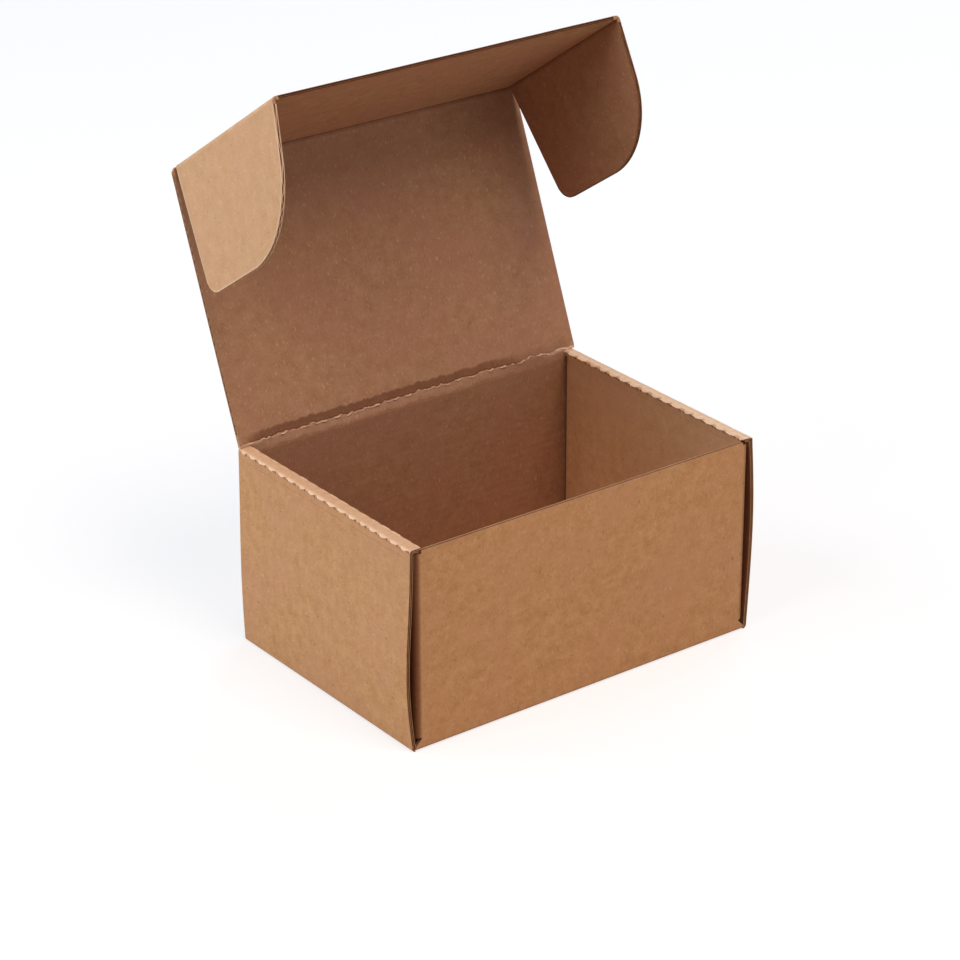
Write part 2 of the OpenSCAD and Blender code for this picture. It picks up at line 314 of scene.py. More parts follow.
# fluting medium, a thin coarse recycled paper: darker, seen at the ends of the flutes
flutingPaper = kraftPaper("flutingMedium", paperLook["fluting"], 1.0, 2.0)
boardPapers = (outsidePaper, shadedInsidePaper, cutPaper)
print("finishes made")


# the board's three layers: two liners and the fluted sheet between them

def moveOut(tree, given, amount, times):
    # the sheet moved along its normals, by an amount and by its own lift
    normal = addNode(tree, "GeometryNodeInputNormal")
    lift = addNode(tree, "GeometryNodeInputNamedAttribute", {"Name": "lift"}, data_type="FLOAT")
    height = addNode(tree, "ShaderNodeMath", {0: amount, 1: times, 2: lift}, operation="MULTIPLY_ADD")
    offset = addNode(tree, "ShaderNodeVectorMath", {0: normal, "Scale": height}, operation="SCALE")
    return addNode(tree, "GeometryNodeSetPosition", {"Geometry": given.outputs["Geometry"], "Offset": offset})


def linerTree():
    # two copies of the sheet, one on each side of the board; the outer one leaves out what is covered
    tree, given, out = newTree("layLiners", {
        "Liner height": "Float", "Outside paper": "Material", "Inside paper": "Material"})
    covered = addNode(tree, "GeometryNodeInputNamedAttribute", {"Name": "covered"}, data_type="FLOAT")
    isCovered = addNode(tree, "FunctionNodeCompare", {0: covered, 1: 0.99},
                        data_type="FLOAT", operation="GREATER_THAN")
    joined = addNode(tree, "GeometryNodeJoinGeometry")
    for side in (-1, 1):
        layer = moveOut(tree, given, given.outputs["Liner height"], side)
        if side < 0:
            layer = addNode(tree, "GeometryNodeDeleteGeometry", {
                "Geometry": layer, "Selection": isCovered}, domain="FACE")
        layer = addNode(tree, "GeometryNodeStoreNamedAttribute", {
            "Geometry": layer, "Name": "inner", "Value": (side + 1) / 2}, data_type="FLOAT", domain="FACE")
        tree.links.new(layer.outputs[0], joined.inputs[0])
    real = addNode(tree, "GeometryNodeRealizeInstances", {"Geometry": joined})
    inner = addNode(tree, "GeometryNodeInputNamedAttribute", {"Name": "inner"}, data_type="FLOAT")
    outside = addNode(tree, "GeometryNodeSetMaterial", {
        "Geometry": real, "Material": given.outputs["Outside paper"]})
    both = addNode(tree, "GeometryNodeSetMaterial", {
        "Geometry": outside, "Selection": inner, "Material": given.outputs["Inside paper"]})
    tree.links.new(both.outputs[0], out.inputs[0])
    return tree


def flutingTree():
    # the sheet waved across the flutes
    tree, given, out = newTree("waveFluting", {
        "Flute pitch": "Float", "Wave height": "Float", "Fluting paper": "Material"})
    flat = addNode(tree, "GeometryNodeInputNamedAttribute", {"Name": "flatSheet"}, data_type="FLOAT_VECTOR")
    parts = addNode(tree, "ShaderNodeSeparateXYZ", {0: flat})
    turns = addNode(tree, "ShaderNodeMath", {0: parts.outputs[1], 1: given.outputs["Flute pitch"]},
                    operation="DIVIDE")
    angle = addNode(tree, "ShaderNodeMath", {0: turns, 1: 2 * math.pi}, operation="MULTIPLY")
    wave = addNode(tree, "ShaderNodeMath", {0: angle}, operation="COSINE")
    moved = moveOut(tree, given, wave, given.outputs["Wave height"])
    real = addNode(tree, "GeometryNodeRealizeInstances", {"Geometry": moved})
    done = addNode(tree, "GeometryNodeSetMaterial", {
        "Geometry": real, "Material": given.outputs["Fluting paper"]})
    tree.links.new(done.outputs[0], out.inputs[0])
    return tree


layLiners = linerTree()
waveFluting = flutingTree()


def paperPiece(name, sheet, papers, group=None, inputs=None, offset=0, even=True):
    # a sheet with its layers, if a group lays them, and the paper's thickness; cut edges show its last paper
    points, flat, lift = (np.concatenate(sheet[key]) for key in ("points", "flat", "lift"))
    patches = list(zip(sheet["tones"], sheet["lift"]))
    keys = sorted({key for tones in sheet["tones"] for key in tones})
    values = {key: np.concatenate([tones.get(key, 0 * lift) for tones, lift in patches]) for key in keys}
    piece = makeMesh(name, papers, points, sheet["faces"], flat, {**values, "lift": lift * mm})
    if group:
        layers = piece.modifiers.new("layers", "NODES")
        layers.node_group = group
        for item in group.interface.items_tree:
            if item.name in inputs:
                layers[item.identifier] = inputs[item.name]
    solid = piece.modifiers.new("paper", "SOLIDIFY")
    solid.thickness = board["paper"] * mm
    solid.offset = offset
    solid.use_even_offset = even
    solid.material_offset_rim = len(papers) - 1
    return settle(piece)


def liners(name, sheet):
    return paperPiece(name, sheet, boardPapers, layLiners, {
        "Liner height": (board["thickness"] - board["paper"]) / 2 * mm,
        "Outside paper": outsidePaper, "Inside paper": shadedInsidePaper})


def fluting(name, sheet):
    return paperPiece(name, sheet, (flutingPaper, cutPaper), waveFluting, {
        "Flute pitch": board["flutePitch"], "Fluting paper": flutingPaper,
        "Wave height": (board["thickness"] / 2 - 1.5 * board["paper"]) * mm})


# tray: s runs along the flutes, over the bottom and up the sides, and t across them, up front and back

tray = {
    "outerWidth": 162.0, "outerDepth": 110.9, "insideWidth": 152.4,
    "rimHeight": 82.5, "frontTop": 81.3, "flapTop": 80.0, "hingeHeight": 83.45,
    "sideLength": 110.6, "innerSideLength": 104.9, "rimInnerLength": 107.7,
    "flapLength": 44.0, "flapBevel": 8.0, "uprightRadius": 3.0,
    "footRelief": 3.4, "footCut": 3.0,  # height and length of the cut at the foot of each upright fold
    "tabWidth": 22.0, "tabSpacing": 56.0, "tabClearance": 0.2, "tabLength": 1.3,
    "creaseReach": 4.5,      # the lid's crease takes over this far below its line
    "bow": {-1: (2.3, 0.6), 1: (1.9, -0.2)},  # how far each side stands out in front, and its lean to the foot
    "bowBack": 0.7, "bowFade": 1.25,  # the bow left at the back, and how fast it falls off towards it
    "bowPeak": 1.135,        # highest value of the bow's curve before it is scaled
    "palerPly": {-1: 0.0, 1: 0.16},              # painted light: the right side's inner ply is made paler along its top
    "palerTop": 4.0, "palerFade": 16.0,          # for this far below the rim, and then fading
    "endShade": 0.62, "endShadeReach": 6.0,      # painted shade on the inside of the side walls' open ends
    # painted shade on the back wall's inside face
    "backShade": 0.2,
    "foldTones": ((0, 0.6), (2.2, 0.9), (3.5, 1.0)),      # painted shade on an upright fold, by distance round it
    # how strong that painted shade is on the left and on the right
    "foldTone": {-1: 1.0, 1: 0.6},
}

rim = {
    "slope": {-1: 0.1, 1: 0.65},     # how much lower a rim's outer crease lies than its inner one
    "reach": 2.6,            # how far the finer paper round the rim reaches down both faces
    "stations": (-4.15, -3.5, -2.9, -2.4, -2.0, -1.65, -1.35),   # its rows on a face, in mm from the rim
    "step": 0.32, "rows": 9, "inset": 1.0,       # its mesh along the rim, and across the rim's flat
    "hem": 0.1,              # its lowest row lies just under the face's own paper
    "grain": 0.09, "ripple": 0.02,  # unevenness and print-through of the flutes on the rim's flat
    "tone": {-1: (0.36, 0.3), 1: (0.8, 0.2)},  # how pale the flat is, partly rubbed paper and partly painted light, and how much paler its inner edge is, a painted highlight
    "nickPitch": 6.5, "lobeLength": 4.7, "lobeOut": 0.66, "lobeHang": 0.58, "lobeThick": 0.28,
    "shows": {-1: 1.0, 1: 0.95}, "quiet": 0.22,  # how much a crease's lobes stand up in sight, and out of sight
    "shift": {True: 0.0, False: 1.9}, "sideShift": {-1: 0.0, 1: 0.8},  # where the nicks of each crease start
}

half = board["thickness"] / 2
r = board["foldRadius"]
quarter = r * math.pi / 2                   # length of a square fold
lifted = board["thickness"] + board["slack"]
wallX = tray["outerWidth"] / 2 - half
plyX = tray["insideWidth"] / 2 + half
slotX = (plyX - half - board["slack"], plyX + half + board["slack"])
rimZ = tray["rimHeight"] - half
wallY = tray["outerDepth"] / 2 - half
sideParts = [(wallX - r, None), (quarter, r), (rimZ - half - 2 * r, None), (quarter, r),
             (wallX - plyX - 2 * r, None), (quarter, r), (rimZ - r - lifted + tray["tabLength"], None)]
sideMarks = list(np.cumsum([length for length, radius in sideParts]))
innerFoot = sideMarks[6] - tray["tabLength"]
rimSpan = (sideMarks[2] - rim["reach"], sideMarks[5] + rim["reach"])
frontEdge = wallY - r  # where the bottom starts to turn up into the front and the back wall
uprightX = tray["outerWidth"] / 2 - lifted - tray["uprightRadius"]
uprightR = tray["uprightRadius"] - half
flapStart = uprightX + uprightR * math.pi / 2
footZ = board["thickness"] + tray["footRelief"]


def bowOut(side, f, t):
    # how far a side panel stands out, f being the height from its foot to the rim as a share
    reach = unit((tray["sideLength"] / 2 - t) / tray["sideLength"]) ** tray["bowFade"]
    out = 0 * f
    for which, (most, lean) in tray["bow"].items():
        crest = np.sin(math.pi * f) * (1 + lean * np.cos(math.pi * f)) / tray["bowPeak"]
        out = out + np.where(side == which, (tray["bowBack"] + (most - tray["bowBack"]) * reach) * crest, 0)
    return out


def placeSide(s, t):
    x, z, _ = follow(sideParts, (0, half), 0, abs(s))
    side = np.sign(s)
    rising = unit((abs(s) - sideMarks[1]) / (sideMarks[2] - sideMarks[1]))
    x = x + bowOut(side, rising, t)
    falling = unit((sideMarks[5] - abs(s)) / (sideMarks[5] - sideMarks[2]))
    z = z - np.where(side > 0, rim["slope"][1], rim["slope"][-1]) * rising * falling ** 3
    return np.stack([x * side, t, z], -1), s


def atTab(t, clearance=0.0):
    return abs(abs(t) - tray["tabSpacing"] / 2) < tray["tabWidth"] / 2 + clearance


def keepSide(s, t):
    s, t = abs(s), abs(t)
    if s > innerFoot:
        return atTab(t)
    if s > (sideMarks[4] + sideMarks[5]) / 2:
        return t < tray["innerSideLength"] / 2
    if s < sideMarks[0]:
        inSlot = slotX[0] < s < slotX[1] and atTab(t, tray["tabClearance"])
        return t < frontEdge and not inSlot
    return True


def sideTones(s, t):
    s, t, plyLight = abs(s), abs(t), np.where(s > 0, tray["palerPly"][1], tray["palerPly"][-1])
    below = s - sideMarks[5]
    onSide = (s > sideMarks[1]) & (s < sideMarks[2])
    return {
        "covered": ((s > rimSpan[0] - 1e-4) & (s < rimSpan[1] + 1e-4)).astype(float),
        # painted light along the top of the right side's inner ply
        "worn": plyLight * (below > 0) * np.exp(-np.maximum(below - tray["palerTop"], 0) / tray["palerFade"]),
        # painted shade on the inside of the side walls' open ends
        "shaded": tray["endShade"] * (onSide & (t > frontEdge - tray["endShadeReach"]))}


def rimCrease(side, isOuter, t):
    # the two creases along the rim are cut and scored by turns: each cut lets a half-moon of the top paper out
    # over the face, between the cuts the paper goes round the corner; x is out from the face, z up from the rim
    shows = rim["shows"][side] if isOuter == (side < 0) else rim["quiet"]
    phase = (t + rim["shift"][isOuter] + rim["sideShift"][side]) / rim["nickPitch"]
    number = np.floor(phase + 0.5)
    chance = np.sin(number * 12.9898 + side * 4.1 + isOuter * 7.7) * 43758.5453
    chance = chance - np.floor(chance)          # a share that is each nick's own, the same in each run
    fromMiddle = (phase - number) * rim["nickPitch"] - (chance - 0.5) * 0.8
    reach = rim["lobeLength"] / 2 * (0.7 + 0.42 * chance)
    inside = unit(1 - (fromMiddle / reach) ** 2) ** 0.5
    ends = unit((tray["sideLength"] / 2 - abs(t)) / 1.2)
    ragged = noiseAt(t / 0.9, side * 2.0, isOuter * 5.0)
    out = rim["lobeOut"] * (0.75 + 0.5 * chance) * inside * shows * ends * (1 + 0.5 * ragged)
    hang = rim["lobeHang"] * (0.5 + 0.9 * (1 - chance)) * inside * shows * ends * (1 + 0.6 * ragged)
    thick = rim["lobeThick"]
    lobe = unit(inside / 0.35) * ends           # 1 on a lobe, 0 between two
    # painted shadow in the cuts between the lobes
    between = hump(abs(fromMiddle) - reach, 0.1, 0.4) * shows
    none = np.zeros(t.shape)
    rows = [(none, z + none, none, 0.5 * between * (z == rim["stations"][-1])) for z in rim["stations"]]
    # each row's place between two lobes, its place on a lobe, and the painted highlight and painted shadow a
    # lobe gets there
    for bareX, bareZ, lobeX, lobeZ, lobeHighlight, dark in (
            (0, -1.1, 0, -thick - 0.55 * hang, 0.1, 0.5),
            (0, -0.85, 0.55 * out, -thick - 0.75 * hang, 0.25, 0.3),
            (-0.05, -0.7, out, -0.7 * thick - hang, 0.6, 0.1),
            (-0.2, -0.38, out, -hang, 1.0, 0),
            (-0.4, -0.18, 0.6 * out - 0.05, -0.5 * hang, 0.9, 0),
            (-0.65, -0.05, 0.15 * out - 0.25, -0.08 * hang, 0.75, 0)):
        soft = 1.0 if shows > 0.5 or bareZ < -0.75 else 0.25         # a quiet crease has a sharper corner
        x = bareX * soft + (lobeX - bareX * soft) * lobe
        z = bareZ * soft + (lobeZ - bareZ * soft) * lobe
        # a lobe gets a painted highlight where it catches the light, and painted shadow under it and in the
        # cuts beside it
        worn = lobeHighlight * (0.5 + 0.5 * lobe) * (0.85 + 0.25 * chance)
        rows.append((x, z, worn, dark * lobe + 0.75 * between * (bareZ * soft < -0.5)))
    return [np.array(column) for column in zip(*rows)]


def rimSheet(side):
    lengths = [tray[key] / 2 for key in ("innerSideLength", "rimInnerLength", "sideLength")]
    t = steps([-v for v in lengths] + lengths, rim["step"])
    outerX, innerX = tray["outerWidth"] / 2, plyX - half
    width = outerX - innerX
    ox, oz, outerCreaseLight, oDark = rimCrease(side, True, t)
    ix, iz, innerCreaseLight, iDark = rimCrease(side, False, t)
    f = unit((oz + tray["rimHeight"] - half - r) / (sideMarks[2] - sideMarks[1]))
    ox = outerX + ox + bowOut(side, f, np.broadcast_to(t, f.shape))
    ox[0] -= rim["hem"]
    across = np.linspace(rim["inset"], width - rim["inset"], rim["rows"])[:, None]
    share = across / width
    ripple = rim["ripple"] * np.cos(2 * math.pi * t / board["flutePitch"])
    rise = rim["grain"] * noiseAt(across / 1.5, t / 2.2, side * 3.0) + ripple
    # the flat's paleness is partly rubbed paper and partly painted light, raised most on the right rim, which
    # gets less light; its inner edge gets a painted highlight
    plain, extra = rim["tone"][side]
    tone = plain + extra * ((share > 0.88) if side < 0 else unit(share * 2 - 0.7))
    x = np.concatenate([ox, outerX - across + 0 * t, (innerX - ix)[::-1]])
    z = tray["rimHeight"] + np.concatenate([oz, rise, iz[::-1]])
    z = z - rim["slope"][side] * unit((x - innerX) / width) ** 3
    worn = np.concatenate([outerCreaseLight, tone * (0.92 + 3 * rise), innerCreaseLight[::-1]])
    dark = np.concatenate([oDark, 0 * rise, iDark[::-1]])
    onFace = len(rim["stations"])
    # the inner ply's painted light carries on up the rim's rows on its face
    worn[-onFace:] += tray["palerPly"][side]
    x[-1] += rim["hem"]
    # distance round the rim, taken at one place along it
    apart = np.maximum(np.hypot(np.diff(x[:, 3]), np.diff(z[:, 3])), 0.01)
    way = np.append(0, np.cumsum(apart))
    flat = rimSpan[0] + (rimSpan[1] - rimSpan[0]) * way / way[-1]
    n, m = x.shape
    tt = np.broadcast_to(t, x.shape)
    sheet = newSheet()
    addPoints(sheet, np.stack([side * x, tt, z], -1), side * np.broadcast_to(flat[:, None], x.shape), tt,
              0 * x, {"worn": unit(worn), "crushed": unit(dark)})
    lastWhole, lastLong = n - onFace - 4, n - 5
    for i in range(n - 1):
        long = lengths[2] if i < lastWhole else lengths[1] if i < lastLong else lengths[0]
        for j in range(m - 1):
            if abs(t[j] + t[j + 1]) / 2 < long:
                face = (i * m + j, i * m + j + 1, (i + 1) * m + j + 1, (i + 1) * m + j)
                sheet["faces"].append(face if side > 0 else face[::-1])
    return sheet


def wallHeight(t):
    return half + r + (abs(t) - frontEdge - quarter)


def wallRow(z):
    return frontEdge + quarter + z - half - r


def placeWall(s, t):
    y, z, _ = follow([(quarter, r), (0, None)], (frontEdge, half), 0, abs(t) - frontEdge)
    taper = unit((footZ - z) / tray["footRelief"])
    x = np.where(abs(s) > uprightX, np.sign(s) * (uprightX + (abs(s) - uprightX) * taper), s)
    return np.stack([x, np.sign(t) * y, z], -1), s


def placeFlap(s, t):
    side, z = np.sign(s), wallHeight(t)
    bevel = tray["flapBevel"]
    trim = np.maximum(0, bevel - (z - lifted)) + np.maximum(0, bevel - (tray["flapTop"] - z))
    along = np.minimum(abs(s), flapStart + tray["flapLength"] - trim)
    x, y, _ = follow([(flapStart - uprightX, uprightR), (0, None)], (uprightX, -wallY), 0, along - uprightX)
    return np.stack([x * side, -y * np.sign(t), z], -1), s


def foldTones(s, t):
    # painted shade on the upright folds, which lie in the recesses at the corners
    past = abs(s) - uprightX
    tone = np.where(s < 0, tray["foldTone"][-1], tray["foldTone"][1])
    return {"crushed": unit((past - 0.2) / 0.5) * np.interp(past, *zip(*tray["foldTones"])) * tone}


def traySheet(fine):
    rowStep = board["flutePitch"] / 6 if fine else board["flutePitch"]
    panelStep = board["plainStep"] if fine else board["flutePitch"]
    sheet = newSheet()
    bends = [np.linspace(sideMarks[i], sideMarks[i + 1], 5) for i in (0, 2, 4)]
    right = np.unique(np.round(np.concatenate([
        steps([0, uprightX, *slotX, sideMarks[0]], board["plainStep"]), bends[0],
        steps([sideMarks[1], rimSpan[0], sideMarks[2]], panelStep), bends[1],
        steps([sideMarks[3], sideMarks[4]], 2), bends[2],
        steps([sideMarks[5], rimSpan[1], innerFoot, sideMarks[6]], board["plainStep"])]), 5))
    columns = np.concatenate([-right[::-1], right[1:]])
    rows = [0, frontEdge, tray["sideLength"] / 2, tray["innerSideLength"] / 2]
    for edge in (tray["tabWidth"] / 2, tray["tabWidth"] / 2 + tray["tabClearance"]):
        rows += [tray["tabSpacing"] / 2 - edge, tray["tabSpacing"] / 2 + edge]
    rows = steps(rows + [-v for v in rows], rowStep)
    addPatch(sheet, columns, rows, placeSide, keepSide, None, sideTones)

    wallCols = np.array([c for c in columns if abs(c) <= sideMarks[0] + 1e-6])
    footEnd = flapStart + tray["footCut"]
    flapCols = np.concatenate([np.linspace(uprightX, flapStart, 8),
                               steps([flapStart, footEnd, flapStart + tray["flapLength"]], 5)[1:]])
    bevels = (tray["flapTop"] - tray["flapBevel"], lifted + tray["flapBevel"])
    for end in (-1, 1):
        top = tray["frontTop"] if end < 0 else tray["hingeHeight"] - tray["creaseReach"]
        # painted shade on the back wall's inside face
        shaded = tray["backShade"] if end > 0 else 0
        marks = [frontEdge + quarter * i / 4 for i in range(5)]
        wallRows = steps(marks + [wallRow(z) for z in (footZ, lifted, top, tray["flapTop"], *bevels)], rowStep)
        if end < 0:
            wallRows = -wallRows[::-1]

        def keepWall(s, t):
            z = wallHeight(t)
            return z < (top if abs(s) < slotX[0] else tray["flapTop"]) and (abs(s) < uprightX or z < footZ)

        def keepFlap(s, t):
            z = wallHeight(t)
            return lifted < z < tray["flapTop"] and (z > footZ or abs(s) > footEnd)

        addPatch(sheet, wallCols, wallRows, placeWall, keepWall, None, lambda s, t: {"shaded": shaded + 0 * s})
        heights = wallHeight(wallRows)
        flapRows = wallRows[(heights > lifted - 0.01) & (heights < tray["flapTop"] + 0.01)]
        for columnsOut in (-flapCols[::-1], flapCols):
            addPatch(sheet, columnsOut, flapRows, placeFlap, keepFlap, None, foldTones)
    return sheet


# the outer liner round each rim is a piece of its own, finer than the rest
trayPieces = [liners("tray_liners", traySheet(False))]
for side, name in ((-1, "left_rim"), (1, "right_rim")):
    trayPieces.append(paperPiece(name, rimSheet(side), (outsidePaper, cutPaper), offset=-1, even=False))
trayPieces.append(fluting("tray_fluting", traySheet(True)))
for piece in trayPieces:
    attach(piece, "tray")
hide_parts("tray")
print("tray folded:", sum(len(piece.data.polygons) for piece in trayPieces), "faces")


# lid, tuck flap and ears: flat panels, each in its own plane

flaps = {
    "lidOpen": 111.8, "tuckFold": 78.0, "earFold": {-1: 82.0, 1: 87.0},
    "lidLength": 107.7, "cornerRadius": 2.0,
    "tuckHeight": 81.6, "earAxis": 78.85, "earReach": 52.0, "earRoot": 1.2,
    "earBackSlant": 5.0, "earFrontSlant": 10.0, "earBackRadius": 7.5, "earFrontRadius": 36.0,
    "creaseReach": 2.0,      # how far each fold's crease strip reaches on both sides
    "curl": {-1: 0.5, 1: 0.2},       # how far the free corner of each ear has sprung outwards
    "rubbed": {-1: 0.17, 1: 0.0},    # painted light: the left ear's paper is made paler than the rest
    # a painted highlight along the left ear's cut edge, and a darker line along the right ear's and the tuck
    # flap's
    "cutTone": {"left_ear": ("worn", 0.8), "right_ear": ("crushed", 0.6), "tuck_flap": ("crushed", 0.75)},
    "cutReach": 0.45,        # how far from its cut edge a flap's paper keeps that tone
    "cutRow": 0.6,           # where the tuck flap has a row of its own for it
    "soft": 12.0,            # how far from its creases a panel stays flat
}

xAxis = np.array([1.0, 0, 0])


def leaning(angle):
    # direction and inside normal of a panel that leans by this angle from the upright
    return np.array([0, math.sin(angle), math.cos(angle)]), np.array([0, -math.cos(angle), math.sin(angle)])


lean = math.radians(flaps["lidOpen"] - 90)
upWay, upIn = leaning(0)
lidWay, lidIn = leaning(lean)
tuckWay, tuckIn = leaning(lean - math.radians(flaps["tuckFold"]))
hinge = np.array([0, wallY, tray["hingeHeight"]])
tuckLine = hinge + lidWay * flaps["lidLength"]
sheetUp = wallRow(tray["hingeHeight"]) + r  # the lid's crease in the flat sheet, one fold's radius further on
sheetOver = sheetUp + flaps["lidLength"]    # and the tuck flap's


def flatPlace(origin, along, way, inside, drop=None):
    def place(s, t):
        points = origin + s[..., None] * along + t[..., None] * way
        if drop is not None:
            points = points + drop(s, t)[..., None] * inside
        return points, s
    return place


def cutTones(name, limits, rubbed):
    # each flap gets its paleness, which on the left ear is painted light; a painted highlight runs along the
    # left ear's cut edge, and the right ear's and the tuck flap's cut edges are darker along the edge
    def tones(s, t):
        out = {"worn": rubbed + 0 * s, "crushed": 0 * s}
        if name in flaps["cutTone"]:
            key, strength = flaps["cutTone"][name]
            steep = (limits(t + 0.05)[1] - limits(t - 0.05)[1]) / 0.1
            fromSide = (limits(t)[1] - s) / np.sqrt(1 + steep ** 2)
            gap = flaps["tuckHeight"] - t if name == "tuck_flap" else fromSide
            out[key] = np.maximum(out[key], strength * hump(gap, 0, flaps["cutReach"]))
        return out
    return tones


def bothWays(width):
    return lambda t: (-width + 0 * t, width + 0 * t)


def earLimit(u):
    # how far an ear reaches at each height of the tuck flap; both its ends slant and are rounded
    reach = flaps["earReach"]
    out = np.full(u.shape, reach)
    for end, v in (("Back", u - flaps["earRoot"]), ("Front", flaps["tuckHeight"] - u)):
        slant, radius = math.radians(flaps["ear" + end + "Slant"]), flaps["ear" + end + "Radius"]
        centre = reach * math.tan(slant) + radius / math.tan((math.pi / 2 + slant) / 2)
        rounded = reach - radius + np.sqrt(np.maximum(radius ** 2 - (v - centre) ** 2, 0))
        out = np.where(v < centre, rounded, out)
        out = np.where(v < centre - radius * math.cos(slant), v / math.tan(slant), out)
    return out


def addFlap(name, body, columns, rows, fineRows, place, limits, lift, flatFrom, turn=1, rubbed=0.0):
    # liners, and fluting with fewer columns and more rows; a row's columns spread between its two limits, and
    # turn is -1 where the panel runs to the left
    def spread(use):
        def used(share, t):
            low, high = limits(t)
            return use(low + share * (high - low), t)
        return used

    tones = cutTones(name, limits, rubbed)
    for kind, along, across, maker in (
            ("liners", columns, rows, liners), ("fluting", columns[::2], fineRows, fluting)):
        sheet = newSheet()
        addPatch(sheet, along, across, spread(place), None, spread(lift), spread(tones))
        flat = np.concatenate(sheet["flat"])
        flat[:, 0] = turn * (flat[:, 0] + flatFrom[0])
        flat[:, 1] += flatFrom[1]
        sheet["flat"] = [flat]
        if turn < 0:
            sheet["faces"] = [face[::-1] for face in sheet["faces"]]
        piece = maker(name + "_" + kind, sheet)
        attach(piece, body)
    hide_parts(name)


fineStep = board["flutePitch"] / 8
evenColumns = np.linspace(0, 1, 41)
earColumns = np.append(np.linspace(0, 0.95, 20), (0.97, 0.984, 0.992, 0.996, 1))     # closer at the cut edge
reachIn = flaps["creaseReach"]
soft = flaps["soft"]

lidStart, lidEnd = tray["creaseReach"], flaps["lidLength"] - reachIn
lidSpan = bothWays(tray["outerWidth"] / 2)
addFlap("lid_panel", "lid", evenColumns, steps([lidStart, lidEnd], board["flutePitch"]),
        steps([lidStart, lidEnd], fineStep), flatPlace(hinge, xAxis, lidWay, lidIn), lidSpan,
        lambda s, t: wander(s, t, 5) * fade(t, lidStart, lidEnd, soft), (0, sheetUp))

tuckHalf, tuckTop = flaps["earAxis"] - reachIn, flaps["tuckHeight"]
tuckRows = steps([reachIn, tuckTop - flaps["cutRow"], tuckTop], board["flutePitch"])
addFlap("tuck_flap", "tuck", evenColumns, tuckRows, steps([reachIn, tuckTop], fineStep),
        flatPlace(tuckLine, xAxis, tuckWay, tuckIn), bothWays(tuckHalf),
        lambda s, t: wander(s, t, 8) * unit((t - reachIn) / soft) * fade(s, -tuckHalf, tuckHalf, soft),
        (0, sheetOver))

backTilt, frontTilt = (math.tan(math.radians(flaps[key])) for key in ("earBackSlant", "earFrontSlant"))


def earFrame(side):
    fold = math.radians(flaps["earFold"][side])
    way = side * xAxis * math.cos(fold) + tuckIn * math.sin(fold)
    return tuckLine + side * xAxis * flaps["earAxis"], way, np.cross(side * way, tuckWay), fold


for side, name, body in ((-1, "left_ear", "ear_l"), (1, "right_ear", "ear_r")):
    origin, way, inside, _ = earFrame(side)

    def curled(s, t):
        up = unit((unit(t / flaps["tuckHeight"]) - 0.35) / 0.65)
        return -flaps["curl"][side] * unit((s - reachIn) / 30) ** 2 * up ** 2

    ends = [flaps["earRoot"] + reachIn * backTilt, flaps["tuckHeight"] - reachIn * frontTilt]
    addFlap(name, body, earColumns, steps(ends, 0.8), steps(ends, fineStep),
            flatPlace(origin, way, tuckWay, inside, curled),
            lambda t: (reachIn + 0 * t, np.maximum(earLimit(t), reachIn + 0.01)),
            lambda s, t: wander(s, t, 12 + side) * unit((s - reachIn) / soft),
            (flaps["earAxis"], sheetOver), side, flaps["rubbed"][side])
print("lid, tuck flap and ears laid up")


# creases: where the board is crushed solid and bends from one flap to the next

crease = {
    "bend": 0.8,            # mm on each side of the line that take the bend
    "crush": 0.12,          # how much thinner a scored line is
    "lidCrush": 1.0,        # the lid's crease was crushed deeper, and its paper has torn up along the line
    "lidCrushAt": ((-81, 0), (-77, 0.15), (-70, 0.7), (-62, 1), (22, 1), (45, 0.55), (54, 0.15),
                   (76, 0.1), (81, 0)),
    "crushFoot": -3.4, "crushHead": 3.75,        # where the crushed band starts and ends
    "ridge": 0.55,          # height of the torn paper
    "lidBehind": (-2.5, 79.0),       # below this the wall's strip runs on behind the rims, to this far out
    "tuckRoot": (1.15, 78.6),        # up to this height the tuck flap's strip is this wide on each side
}


def stripFaces(kept, flip):
    # both skins, and a cut edge wherever the next cell is missing; kept has one empty cell more all round
    n, m = kept.shape[0] - 1, kept.shape[1] - 1
    faces, kinds = [], []
    for i in range(n - 1):
        for j in range(m - 1):
            if not kept[i + 1, j + 1]:
                continue
            a, b, c, d = (i * m + j + step for step in (0, 1, m + 1, m))
            e, f, g, h = (corner + n * m for corner in (a, b, c, d))
            cell = [((a, b, c, d), 1), ((e, h, g, f), 0)]
            for k, l, side in ((1, 0, (a, d, h, e)), (1, 2, (b, f, g, c)),
                               (0, 1, (a, e, f, b)), (2, 1, (d, c, g, h))):
                if not kept[i + k, j + l]:
                    cell.append((side, 2))
            for face, kind in cell:
                faces.append(face[::-1] if flip else face)
                kinds.append(kind)
    return faces, kinds


